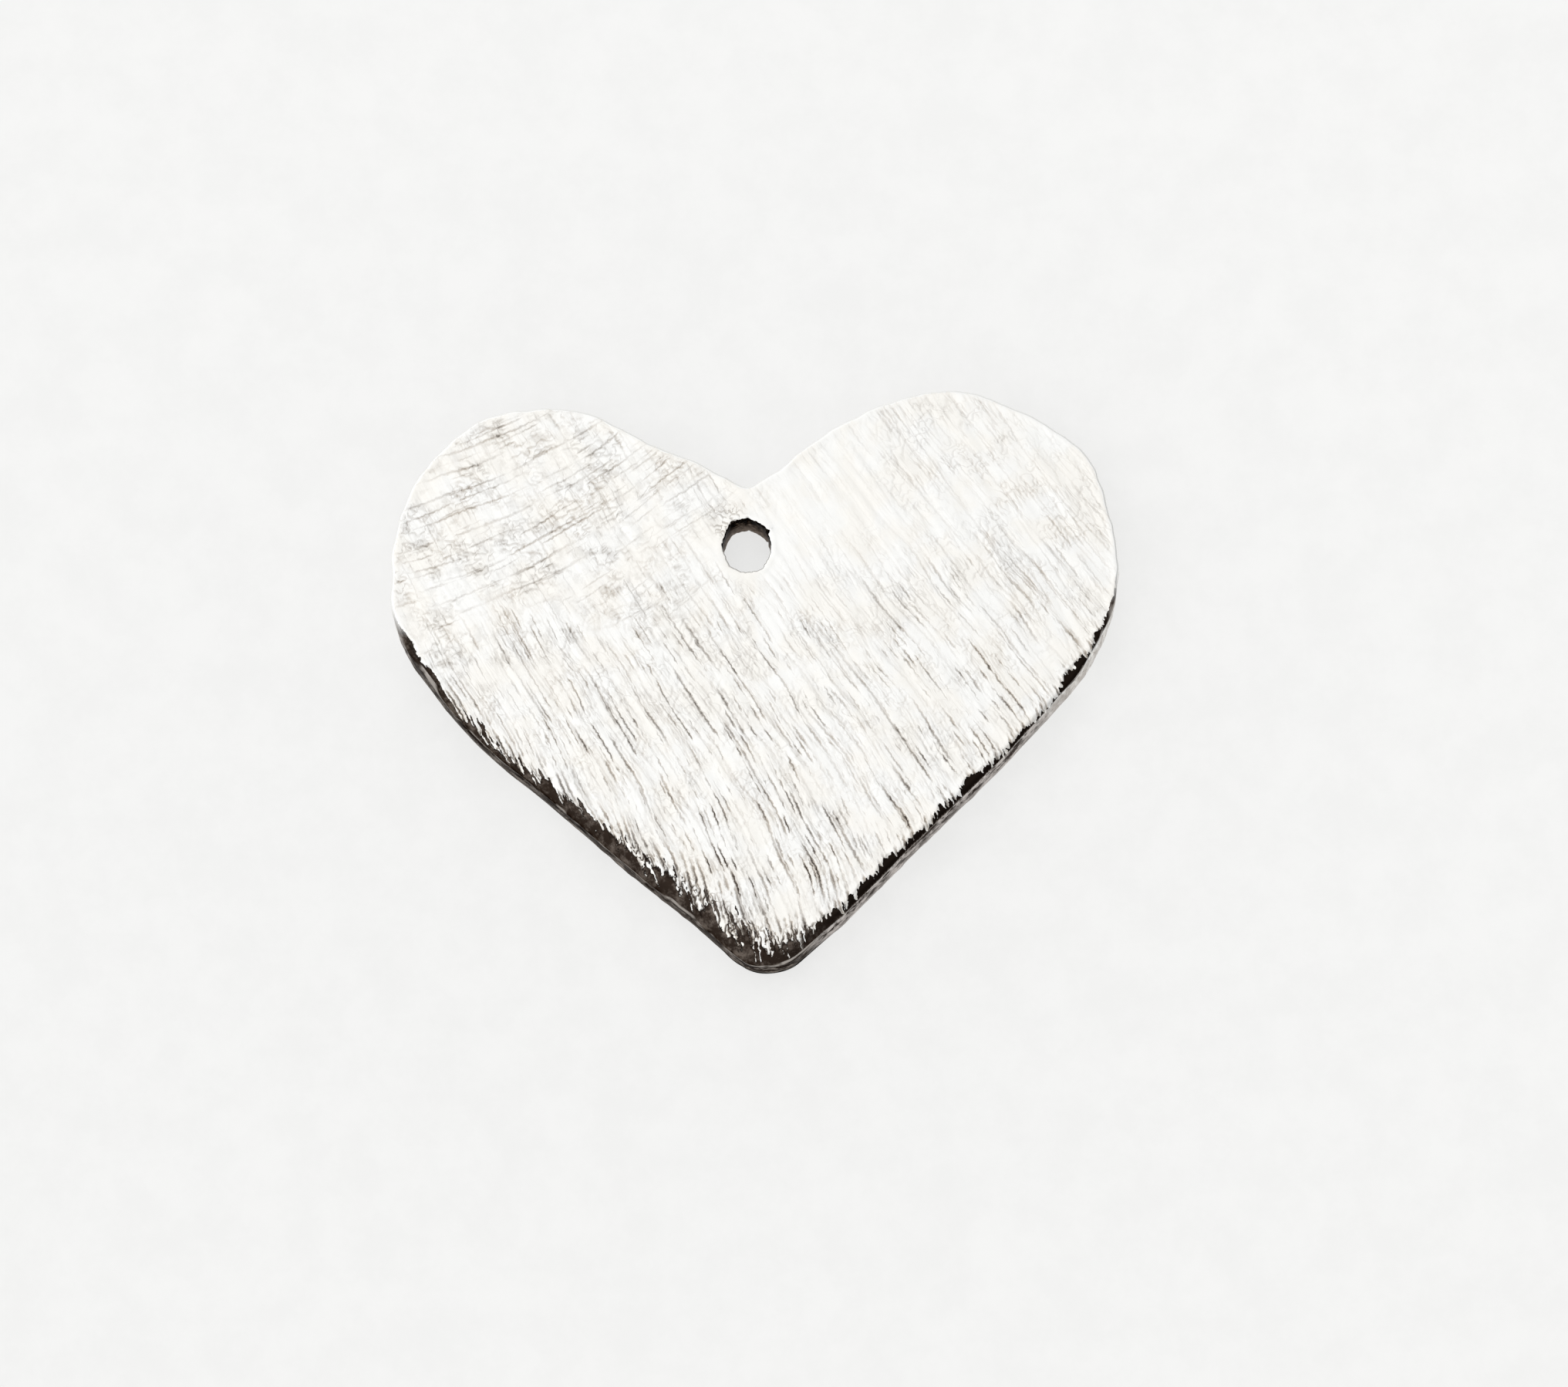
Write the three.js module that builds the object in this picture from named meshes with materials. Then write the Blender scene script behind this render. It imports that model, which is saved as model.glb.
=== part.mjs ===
// Heart charm: one solid plate of metal sheet, cut to a heart, with a hanging hole under its cleft.
// It lies on its back with its brushed face up, and has no other piece.
//
// Sizes are in millimetres. +X runs across the two lobes, +Y from the tip towards the lobes and +Z
// out of the brushed face. The origin is on the surface that the charm lies on, under the middle of
// its width and height.

import * as THREE from 'three';

// The heart's outline, seen from the front
const heartWidth = 15.0;
const heartHeight = 12.0; // from the tip to the tops of the lobes
const cleftDepth = 1.85; // from the tops of the lobes down to the bottom of the cleft
const cleftRadius = 0.3;
const cleftSlopeDegrees = 31; // how steeply the straight edges rise out of the cleft
const flankRadius = 4.2; // the fuller bend between a lobe's widest point and the straight lower edge
const tipRadius = 0.9;

// The sheet and its rounded edges
const sheetThickness = 1.0;
const frontRounding = 0.25; // rubbed over when the face was brushed
const backRounding = 0.1;

// The hole that a jump ring or a cord goes through
const holeDiameter = 1.0;
const holeBelowCleft = 1.2; // from the bottom of the cleft to the middle of the hole
const holeRounding = 0.06; // on both of its rims

// How finely round stretches are divided
const outlineFacetDegrees = 4;
const holeFacetDegrees = 10;
const roundingFacetDegrees = 18;

const quarterTurn = Math.PI / 2;

// How many straight facets stand for a turn of the given angle
function facets(angle, facetDegrees) {
  return Math.ceil(THREE.MathUtils.radToDeg(Math.abs(angle)) / facetDegrees);
}

// The outline is made of arcs and the straight edges that touch them. Each lobe's circle touches the
// top of the heart, its side and the straight edge out of the cleft, which settles its radius.
const cleftSlope = THREE.MathUtils.degToRad(cleftSlopeDegrees);
const cleftCornerDepth = cleftDepth + cleftRadius / Math.cos(cleftSlope) - cleftRadius;
const lobeRadius =
  ((heartWidth / 2) * Math.sin(cleftSlope) - cleftCornerDepth * Math.cos(cleftSlope)) /
  (1 + Math.sin(cleftSlope) - Math.cos(cleftSlope));

const lobeCentre = new THREE.Vector2(heartWidth / 2 - lobeRadius, heartHeight / 2 - lobeRadius);
const flankCentre = new THREE.Vector2(heartWidth / 2 - flankRadius, lobeCentre.y);
const tipCentre = new THREE.Vector2(0, tipRadius - heartHeight / 2);
const cleftCentre = new THREE.Vector2(0, heartHeight / 2 - cleftDepth + cleftRadius);
const holeCentre = new THREE.Vector2(0, heartHeight / 2 - cleftDepth - holeBelowCleft);

// The straight lower edge touches the tip's circle and the flank's circle from outside.
const tipToFlank = flankCentre.clone().sub(tipCentre);
const flankSlope = tipToFlank.angle() - Math.asin((flankRadius - tipRadius) / tipToFlank.length());

// The directions in which the right half's straight edges face
const lowerEdgeFacing = flankSlope - quarterTurn;
const cleftEdgeFacing = cleftSlope + quarterTurn;

function arcPoints(centre, radius, from, to, facetDegrees) {
  const clockwise = to < from;
  const arc = new THREE.EllipseCurve(centre.x, centre.y, radius, radius, from, to, clockwise);
  return arc.getPoints(facets(to - from, facetDegrees));
}

// The outline drawn in by inset all round, anticlockwise from the left end of the tip's arc. An arc
// keeps its centre and its ends when it is drawn in, so every inset gives the same count of points.
function outlinePoints(inset) {
  const mirror = (centre) => new THREE.Vector2(-centre.x, centre.y);
  const arc = (centre, radius, from, to) => arcPoints(centre, radius, from, to, outlineFacetDegrees);
  const tip = arc(tipCentre, tipRadius - inset, -Math.PI - lowerEdgeFacing, lowerEdgeFacing);
  const rightFlank = arc(flankCentre, flankRadius - inset, lowerEdgeFacing, 0);
  const rightLobe = arc(lobeCentre, lobeRadius - inset, 0, cleftEdgeFacing);
  const cleft = arc(cleftCentre, cleftRadius + inset, cleftEdgeFacing - Math.PI, -cleftEdgeFacing);
  const leftLobe = arc(mirror(lobeCentre), lobeRadius - inset, Math.PI - cleftEdgeFacing, Math.PI);
  const leftFlank = arc(mirror(flankCentre), flankRadius - inset, Math.PI, Math.PI - lowerEdgeFacing);

  // A flank's arc and a lobe's arc share the point where they meet.
  rightFlank.pop();
  leftLobe.pop();
  return [tip, rightFlank, rightLobe, cleft, leftLobe, leftFlank].flat();
}

// The hole widened by inset, anticlockwise
function holePoints(inset) {
  const points = arcPoints(holeCentre, holeDiameter / 2 + inset, 0, 2 * Math.PI, holeFacetDegrees);
  points.pop();
  return points;
}

// The section of an edge, from the front face over its rounding, down the wall and round to the back:
// how far each ring of points is inset, and its height
function edgeSection(frontRadius, backRadius) {
  const section = [];
  const steps = facets(quarterTurn, roundingFacetDegrees);
  for (let step = 0; step <= steps; step++) {
    const turn = (step / steps) * quarterTurn;
    section.push({
      inset: frontRadius * (1 - Math.sin(turn)),
      height: sheetThickness - frontRadius * (1 - Math.cos(turn)),
    });
  }
  for (let step = 0; step <= steps; step++) {
    const turn = (step / steps) * quarterTurn;
    section.push({
      inset: backRadius * (1 - Math.cos(turn)),
      height: backRadius * (1 - Math.sin(turn)),
    });
  }
  return section;
}

// The plate's surface: an outer edge, the hole's edge, and the flat front and back between them
function heartPlateGeometry() {
  const positions = [];
  const triangles = [];

  // Adds the rings of one edge and the bands between them, and gives back where each ring starts.
  function addEdge(section, ringPoints, facesOutward) {
    const starts = section.map(({ inset, height }) => {
      const start = positions.length / 3;
      for (const point of ringPoints(inset)) {
        positions.push(point.x, point.y, height);
      }
      return start;
    });
    const count = ringPoints(0).length;
    for (let ring = 0; ring + 1 < starts.length; ring++) {
      for (let i = 0; i < count; i++) {
        const next = (i + 1) % count;
        const upper = [starts[ring] + i, starts[ring] + next];
        const lower = [starts[ring + 1] + i, starts[ring + 1] + next];
        if (facesOutward) {
          triangles.push(upper[0], lower[0], lower[1], upper[0], lower[1], upper[1]);
        } else {
          triangles.push(upper[0], lower[1], lower[0], upper[0], upper[1], lower[1]);
        }
      }
    }
    return { front: starts[0], back: starts[starts.length - 1], count };
  }

  const outer = addEdge(edgeSection(frontRounding, backRounding), outlinePoints, true);
  const hole = addEdge(edgeSection(holeRounding, holeRounding), holePoints, false);

  // Fills the flat face between the outline and the hole, on the front or on the back.
  function addFace(side, outlineInset, facesUp) {
    const contour = outlinePoints(outlineInset);
    const opening = holePoints(holeRounding);
    const corner = (i) => (i < outer.count ? outer[side] + i : hole[side] + i - outer.count);
    const points = contour.concat(opening);
    for (const [a, b, c] of THREE.ShapeUtils.triangulateShape(contour, [opening])) {
      const anticlockwise = THREE.ShapeUtils.area([points[a], points[b], points[c]]) > 0;
      if (anticlockwise === facesUp) {
        triangles.push(corner(a), corner(b), corner(c));
      } else {
        triangles.push(corner(a), corner(c), corner(b));
      }
    }
  }

  addFace('front', frontRounding, true);
  addFace('back', backRounding, false);

  const geometry = new THREE.BufferGeometry();
  geometry.setAttribute('position', new THREE.Float32BufferAttribute(positions, 3));
  geometry.setIndex(triangles);
  geometry.computeVertexNormals();
  return geometry;
}

const brushedSilver = new THREE.MeshStandardMaterial({ color: 0xe6e5e0, roughness: 0.42, metalness: 0.9 });

const heartPlate = new THREE.Mesh(heartPlateGeometry(), brushedSilver);
heartPlate.name = 'heart_plate';

const heartCharm = new THREE.Group();
heartCharm.add(heartPlate);

export default heartCharm;
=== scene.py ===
import math
from collections import namedtuple

import bpy
import numpy as np
from mathutils import Matrix, Vector, kdtree, noise
from mathutils.geometry import delaunay_2d_cdt


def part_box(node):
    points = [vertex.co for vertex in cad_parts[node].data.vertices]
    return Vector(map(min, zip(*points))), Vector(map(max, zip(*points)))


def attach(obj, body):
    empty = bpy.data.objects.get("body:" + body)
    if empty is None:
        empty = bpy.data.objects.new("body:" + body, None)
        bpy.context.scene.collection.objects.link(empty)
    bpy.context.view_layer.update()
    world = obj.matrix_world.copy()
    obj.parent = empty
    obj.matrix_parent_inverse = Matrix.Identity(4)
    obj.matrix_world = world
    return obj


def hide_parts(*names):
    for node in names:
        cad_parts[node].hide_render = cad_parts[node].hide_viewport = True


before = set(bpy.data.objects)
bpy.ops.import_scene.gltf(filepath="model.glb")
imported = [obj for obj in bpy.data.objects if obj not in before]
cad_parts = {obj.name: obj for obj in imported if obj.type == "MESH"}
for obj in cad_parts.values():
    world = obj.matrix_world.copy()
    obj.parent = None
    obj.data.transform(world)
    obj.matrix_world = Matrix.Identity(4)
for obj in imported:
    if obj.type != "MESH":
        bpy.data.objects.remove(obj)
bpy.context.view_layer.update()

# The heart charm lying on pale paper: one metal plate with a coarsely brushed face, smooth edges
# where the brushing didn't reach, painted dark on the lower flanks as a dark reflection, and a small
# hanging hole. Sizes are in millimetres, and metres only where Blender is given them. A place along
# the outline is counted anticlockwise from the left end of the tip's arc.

MM = 0.001

# The plate as packed
PLATE = "heart_plate"
plate_low, plate_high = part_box(PLATE)
WIDTH = (plate_high.x - plate_low.x) / MM
HEIGHT = (plate_high.y - plate_low.y) / MM
THICKNESS = (plate_high.z - plate_low.z) / MM

# The heart's outline
CLEFT_DEPTH = 1.85
CLEFT_RADIUS = 0.3
CLEFT_SLOPE = math.radians(31)
FLANK_RADIUS = 4.2
TIP_RADIUS = 0.9
BACK_ROUNDING = 0.1

# Where hand work left the outline fuller or flatter than drawn: place along it, how far it stands
# out, and how far the change spreads
HAND_WORK = (
    (0.8, -0.15, 0.8), (1.9, -0.05, 0.6), (7.2, 0.07, 1.9), (13.1, -0.12, 0.9), (15.4, -0.09, 0.5),
    (16.4, -0.12, 0.8), (20.5, 0.14, 1.0), (23.0, -0.04, 0.5), (24.2, -0.05, 0.5),
    (25.1, -0.14, 0.8), (28.3, 0.10, 0.8), (31.4, -0.07, 0.8), (32.2, -0.06, 0.4),
    (34.8, -0.11, 0.9), (36.8, 0.04, 0.8), (42.1, -0.06, 1.0),
)

# Small bumps in the outline: how many per mm, their height, what the lobes add to it, and a seed
OUTLINE_BUMPS = ((1.9, 0.006, 0.028, 3.1), (3.6, 0.003, 0.026, 7.7))
LOBES_START = (10.5, 12)
LOBES_END = (32, 33.5)

# How far the rounded front edge reaches in, at places along the outline
FRONT_REACH = (
    (0.3, 0.47), (0.9, 0.38), (2.0, 0.24), (3.0, 0.19), (4.2, 0.15), (5.0, 0.17), (7.5, 0.16),
    (8.5, 0.15), (10.4, 0.12), (11.3, 0.05), (32.6, 0.05), (34.0, 0.08), (36.0, 0.12), (37.5, 0.15),
    (38.5, 0.21), (39.5, 0.29), (41.5, 0.36), (42.8, 0.38),
)
REACH_CHANGE = 0.12  # the share by which the reach changes at random
DROP_PER_REACH = 1.2  # how far the rounding comes down the side, for each mm that it reaches in
LEAST_DROP = 0.05
DEEPEST_DROP = 0.26

# How wide the zone is, inside the rounded edge, where the brushing left torn flakes
FLAKES = (
    (0.3, 0.62), (1.0, 0.42), (2.2, 0.14), (8.5, 0.12), (10.8, 0.12), (11.8, 0.0), (33.0, 0.0),
    (33.8, 0.10), (35.0, 0.17), (38.0, 0.22), (39.0, 0.17), (40.5, 0.24), (42.0, 0.34),
    (42.8, 0.38),
)
HAS_FLAKES = 0.02  # a narrower zone has none
LEAST_FLAKES = 0.05  # the least width that is reckoned with
FLAKES_FADE = 1.5  # how far in from the rounded edge they fade out, in widths of the zone
FLAKE_DROP = 0.02  # how far the smooth metal lies below the flakes

# The torn border of the brushed metal: how much its teeth, curls and patches move it, in widths of
# the zone, and how far in it can be
BORDER_TEETH = 0.75
BORDER_CURLS = 0.30
PLAIN_BORDER_CURLS = 0.25  # where there are no flakes
BORDER_PATCHES = 1.6
BORDER_END = 1.6

# The widths of the zone between which the patches fade in, and then out
PATCHES_START = (0.02, 0.08)
PATCHES_END = (0.14, 0.20)

# The relief of the brush strokes: height, how many per mm, a seed, direction in degrees, and how
# drawn out they are
STROKE_RELIEF = ((0.006, 3.6, 9.1, -58, 6), (0.004, 7.0, 6.1, -56, 5))
FACE_SUNK = 0.006  # keeps the strokes from standing proud

# Where the relief starts and where it is complete: the step down from the flakes by cover, and the
# rest by the distance from the rounded edge
STEP_COVER = (-0.15, 0.15)
STEP_START = (-0.1, 0.02)
STROKES_START = (0.0, 0.1)
SUNK_START = (0.0, 0.2)
TORN_IN_FULL = 0.25  # a zone as wide as this is torn in full

# How dark the side of the plate is painted, as a dark reflection, from bare metal at 0 to nearly black at 1
SIDE_DARK_REFLECTION = (
    (0.0, 0.95), (1.0, 0.80), (2.5, 0.50), (7.5, 0.42), (10.0, 0.15), (33.2, 0.15), (34.3, 0.90),
    (42.0, 1.0),
)

# How dark the rounded front edge is painted, as a dark reflection: bare at 0, brown at 1 and black at 2
FRONT_DARK_REFLECTION = (
    (0.0, 1.0), (1.5, 1.2), (3.0, 2.0), (10.6, 2.0), (11.8, 0.0), (33.0, 0.0), (33.9, 1.4),
    (35.0, 1.0), (43.0, 1.0),
)

# How far the bare side's colour climbs over the arris: place along the outline and height
BARE_CLIMB = ((1.0, 0.0), (2.2, 0.20), (8.0, 0.20), (10.5, 0.12), (11.5, 0.0))
CLIMB_CHANGE = 0.6  # the share by which the climb changes at random
BARE_BLEND = 0.06

# Marks on the wall: depth, how many per mm along the outline and down the wall, and a seed
WALL_MARKS = ((0.012, 0.35, 6, 8.8), (0.02, 4, 5, 4.1))
WALL_SUNK = 0.006  # keeps the marks from standing proud

# The hole
HOLE_ACROSS = 0.98
HOLE_ALONG = 1.1
HOLE_X = -0.13
HOLE_Y = 2.9
HOLE_ROUNDING = 0.04
HOLE_PLACE = (HOLE_X, HOLE_Y, 0)
BARE_RIM_Y = (HOLE_Y - 0.25, HOLE_Y + 0.15)  # the front rim gets bare between these
BARE_ROUND_HOLE = 0.5  # how far round the hole the face has no painted dark reflection

# How ragged the hole is, as a share of its front rim's raggedness
RIM_SMOOTHING = 0.3  # how much less ragged the wall is just below the front rim
BACK_RIM_RAGGED = 0.5

# The grain of the hole's front rim: depth, how many per radius of the hole, and a seed
HOLE_GRAIN = ((0.014, 4.0, 2.2), (0.022, 9.0, 6.2))

# Ragged places on the hole's front rim: direction from its middle in degrees, depth, and half width
# in degrees
HOLE_NOTCHES = (
    (12, -0.02, 7), (30, 0.08, 3), (55, -0.02, 14), (84, 0.05, 4), (122, 0.045, 14),
    (158, -0.03, 9), (200, -0.015, 9), (225, 0.02, 9), (303, 0.05, 9),
)

# Where, on the rounding, the front's points hand over to rings along the edge. Between the two
# reaches this moves up to the top, so a narrow rounding is all rings.
SHOULDER_START = math.radians(62)
RING_REACHES = (0.07, 0.16)

# The brushing turned as it went: how fast its strokes bend, towards the tip and on the left lobe
BEND_DOWN = 0.033
BEND_LEFT = 0.040
LEFT_BEND_START = -2.0

# What the material reads from the mesh: cover is below 0 on smooth metal and above 0 on brushed
# metal, the second trait is how dark the smooth metal is painted as a dark reflection, and side is how
# far a point lies below the upper border of the side's colour
TRAITS = ("cover", "patina", "torn", "side")
NEVER_BRUSHED = -2.0
FULLY_BRUSHED = 2.0
ROUNDING_COVER_LOSS = 0.3  # how much lower cover is on the rounded front edge
RIM_COVER = 0.5
RIM_COVER_LOSS = 1.6  # how much is lost down the hole's front rim, where the rim is bare
NOT_SIDE = -0.5

# Mesh steps, gaps and rings
ARC_STEP = 0.02
COLUMN_STEP = 0.045
FINE_STEP = 0.028
FACE_STEP = 0.055
BACK_STEP = 0.4
HEX_ROW = 0.866  # the distance between rows of points, in steps
FINE_BELOW_Y = 3.2
FINE_MARGIN = 0.05  # how far past the flakes the fine points reach
FACE_HOLE_GAP = 0.11
BACK_HOLE_GAP = 0.2
BACK_EDGE_GAP = 0.1
HOLE_COLUMNS = 150
SHOULDER_RINGS = 7
WALL_RINGS = 10
BACK_RINGS = 4
HOLE_RIM_RINGS = 8
HOLE_WALL_RINGS = 8
HOLE_BACK_RINGS = 3

# Camera
CAMERA_ELEVATION = math.radians(76.6)
CAMERA_ROLL = math.radians(2.61)
CAMERA_DISTANCE = 160.0
FRAME_WIDTH = 32.03
AIM_RIGHT = 0.496
AIM_DOWN = 0.095
SENSOR_WIDTH = 36.0
NEAREST_SEEN = 0.01
FURTHEST_SEEN = 10.0

# The light by direction: from OVERHEAD it is brightest, and the left side adds a little
OVERHEAD = (-0.45, 0.2, 1.0)
LIGHT_ANGLES = (0.70, 0.97)  # cosines of the angle from OVERHEAD between which it brightens
LIGHT_STRENGTHS = (0.84, 1.14)
LIGHT_FROM_LEFT = 0.40
MOST_FROM_LEFT = 0.10

# The paper
FLOOR_HALF = 1.0
PAPER_GLOW = 0.75  # the share of the paper's brightness that no shadow dims
PAPER_ROUGHNESS = 0.9

# The paper's shade, from its dark colour at 0 to its light one at 1: at the near end, what mottling
# adds, what distance adds as painted light that grows towards the top, and what the neighbourhood of
# the charm takes off as painted shadow
PAPER_SHADE = 0.17
MOTTLED_SHADE = 0.56
FAR_SHADE = 0.22
FAR_PLACES = (-10.0, 14.0)
CHARM_SHADOW = 0.14
CHARM_SHADOW_REACH = (7.0, 16.0)


def arc(centre, radius, start, end):
    """Points along an arc, both ends included."""
    steps = max(8, math.ceil(abs(end - start) * radius / ARC_STEP))
    turn = np.linspace(start, end, steps + 1)
    return np.c_[centre[0] + radius * np.cos(turn), centre[1] + radius * np.sin(turn)]


def drawn_outline():
    """The heart as it was drawn, from the left end of the tip's arc, anticlockwise."""
    corner = CLEFT_DEPTH + CLEFT_RADIUS / math.cos(CLEFT_SLOPE) - CLEFT_RADIUS
    lobe_radius = (WIDTH / 2 * math.sin(CLEFT_SLOPE) - corner * math.cos(CLEFT_SLOPE)) / (
        1 + math.sin(CLEFT_SLOPE) - math.cos(CLEFT_SLOPE)
    )
    lobe = (WIDTH / 2 - lobe_radius, HEIGHT / 2 - lobe_radius)
    flank = (WIDTH / 2 - FLANK_RADIUS, lobe[1])
    tip = (0, TIP_RADIUS - HEIGHT / 2)
    cleft = (0, HEIGHT / 2 - CLEFT_DEPTH + CLEFT_RADIUS)
    span = (flank[0] - tip[0], flank[1] - tip[1])
    narrowing = math.asin((FLANK_RADIUS - TIP_RADIUS) / math.hypot(*span))
    flank_slope = math.atan2(span[1], span[0]) - narrowing
    lower = flank_slope - math.pi / 2
    upper = CLEFT_SLOPE + math.pi / 2
    return np.vstack([
        arc(tip, TIP_RADIUS, -math.pi - lower, lower),
        arc(flank, FLANK_RADIUS, lower, 0)[:-1],
        arc(lobe, lobe_radius, 0, upper),
        arc(cleft, CLEFT_RADIUS, upper - math.pi, -upper),
        arc((-lobe[0], lobe[1]), lobe_radius, math.pi - upper, math.pi)[:-1],
        arc((-flank[0], flank[1]), FLANK_RADIUS, math.pi, math.pi - lower),
    ])


def evenly(points, step):
    """Points spaced evenly along a closed line, and how far along it each one is."""
    closed = np.vstack([points, points[:1]])
    along = np.r_[0, np.cumsum(np.hypot(*np.diff(closed, axis=0).T))]
    places = np.linspace(0, along[-1], round(along[-1] / step), endpoint=False)
    return np.c_[np.interp(places, along, closed[:, 0]), np.interp(places, along, closed[:, 1])], places


def outward(points):
    """The outward direction at each point of a closed anticlockwise line."""
    ahead = np.roll(points, -1, 0) - np.roll(points, 1, 0)
    normal = np.c_[ahead[:, 1], -ahead[:, 0]]
    return normal / np.hypot(*normal.T)[:, None]


def along_outline(table, places, length):
    """A table's value at each place along the outline."""
    where = [row[0] for row in table]
    what = [row[1] for row in table]
    return np.interp(places, where, what, period=length)


def smooth(value, low, high):
    """A smooth step from 0 at low to 1 at high."""
    t = np.clip((value - low) / (high - low), 0, 1)
    return t * t * (3 - 2 * t)


def rough(points, per_mm, seed, direction=0.0, stretch=1.0):
    """Smooth random values from -1 to 1 at 2-D points, drawn out along a direction in degrees."""
    turn = math.radians(direction)
    along = (points[:, 0] * math.cos(turn) + points[:, 1] * math.sin(turn)) * per_mm / stretch
    across = (points[:, 1] * math.cos(turn) - points[:, 0] * math.sin(turn)) * per_mm
    return np.array([noise.noise((u, v, seed)) for u, v in zip(along.tolist(), across.tolist())])


def unbent(points):
    """Coordinates in which the bent brush strokes run straight."""
    x, y = points.T
    low = np.minimum(y, 0)
    left = np.minimum(x - LEFT_BEND_START, 0)
    return np.c_[x + BEND_DOWN * low ** 2, y - BEND_LEFT * left ** 2]


# The outline as hand work left it, in columns, with what goes with each column
outline, place = evenly(drawn_outline(), COLUMN_STEP)
OUTLINE_LENGTH = place[-1] + COLUMN_STEP
facing = outward(outline)
for middle, stand_out, spread in HAND_WORK:
    away = (place - middle + OUTLINE_LENGTH / 2) % OUTLINE_LENGTH - OUTLINE_LENGTH / 2
    outline += facing * (stand_out * np.exp(-((away / spread) ** 2)))[:, None]
on_lobes = smooth(place, *LOBES_START) * (1 - smooth(place, *LOBES_END))
bumps = sum(
    (low + more * on_lobes) * rough(outline, per_mm, seed) for per_mm, low, more, seed in OUTLINE_BUMPS
)
outline += facing * bumps[:, None]
facing = outward(outline)
reach = along_outline(FRONT_REACH, place, OUTLINE_LENGTH)
reach = reach * (1 + REACH_CHANGE * rough(outline, per_mm=1.2, seed=5.5))
# How dark the front edge and the side are painted, as a dark reflection
patina = along_outline(FRONT_DARK_REFLECTION, place, OUTLINE_LENGTH)
side_patina = along_outline(SIDE_DARK_REFLECTION, place, OUTLINE_LENGTH)
flakes = along_outline(FLAKES, place, OUTLINE_LENGTH)
climb = along_outline(BARE_CLIMB, place, OUTLINE_LENGTH)
climb = climb * (1 + CLIMB_CHANGE * rough(outline, per_mm=1.6, seed=2.9))
drop = np.clip(DROP_PER_REACH * reach, LEAST_DROP, DEEPEST_DROP)
arris = THICKNESS - drop
shoulder_start = SHOULDER_START * smooth(reach, *RING_REACHES)
column_tree = kdtree.KDTree(len(outline))
for number, (x, y) in enumerate(outline.tolist()):
    column_tree.insert((x, y, 0), number)
column_tree.balance()


def nearest_column(points):
    """For each point, the outline's nearest column and how far in from the outline the point is."""
    column = np.array([column_tree.find((x, y, 0))[1] for x, y in points.tolist()])
    inset = -((points - outline[column]) * facing[column]).sum(1)
    return column, inset


def hex_points(step):
    """Points at equal distances, in rows, over the whole plate and a little past it."""
    rows = math.ceil(HEIGHT / step / HEX_ROW) + 4
    columns = math.ceil(WIDTH / step) + 4
    row, column = np.mgrid[0:rows, 0:columns]
    x = (column + 0.5 * (row % 2)) * step - WIDTH / 2 - step
    y = row * step * HEX_ROW - HEIGHT / 2 - step
    return np.c_[x.ravel(), y.ravel()]


def inside(points, ring):
    """Whether each point is inside a closed ring of points."""
    found = np.zeros(len(points), bool)
    for (x0, y0), (x1, y1) in zip(ring, np.roll(ring, -1, 0)):
        if y0 != y1:
            level = (points[:, 1] < max(y0, y1)) & (points[:, 1] >= min(y0, y1))
            found ^= level & (points[:, 0] < x0 + (points[:, 1] - y0) * (x1 - x0) / (y1 - y0))
    return found


def hole_distance(points):
    """How far outside the hole's wall each point is."""
    across = (points[:, 0] - HOLE_X) / (HOLE_ACROSS / 2)
    along = (points[:, 1] - HOLE_Y) / (HOLE_ALONG / 2)
    return (np.hypot(across, along) - 1) * HOLE_ACROSS / 2


def hole_ring(widen, ragged=0.0):
    """A ring round the hole, as ragged as asked: 0 is a clean oval and 1 the front rim."""
    turn = np.linspace(0, 2 * math.pi, HOLE_COLUMNS, endpoint=False)
    ring = np.c_[np.cos(turn), np.sin(turn)]
    grain = sum(depth * rough(ring, per_radius, seed) for depth, per_radius, seed in HOLE_GRAIN)
    radius = widen + ragged * grain
    for degrees, depth, half in HOLE_NOTCHES:
        away = (np.degrees(turn) - degrees + 180) % 360 - 180
        radius = radius + ragged * depth * np.exp(-((away / half) ** 2))
    return np.c_[
        HOLE_X + (HOLE_ACROSS / 2 + radius) * ring[:, 0],
        HOLE_Y + (HOLE_ALONG / 2 + radius) * ring[:, 1],
    ]


def shoulder_inset(turn):
    """How far in the rounded front edge is, at an angle on it from the top."""
    return reach * (1 - np.sin(turn))


def shoulder_ring(turn):
    """A ring of points along the rounded front edge, at an angle on it from the top."""
    return outline - facing * shoulder_inset(turn)[:, None]


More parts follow.
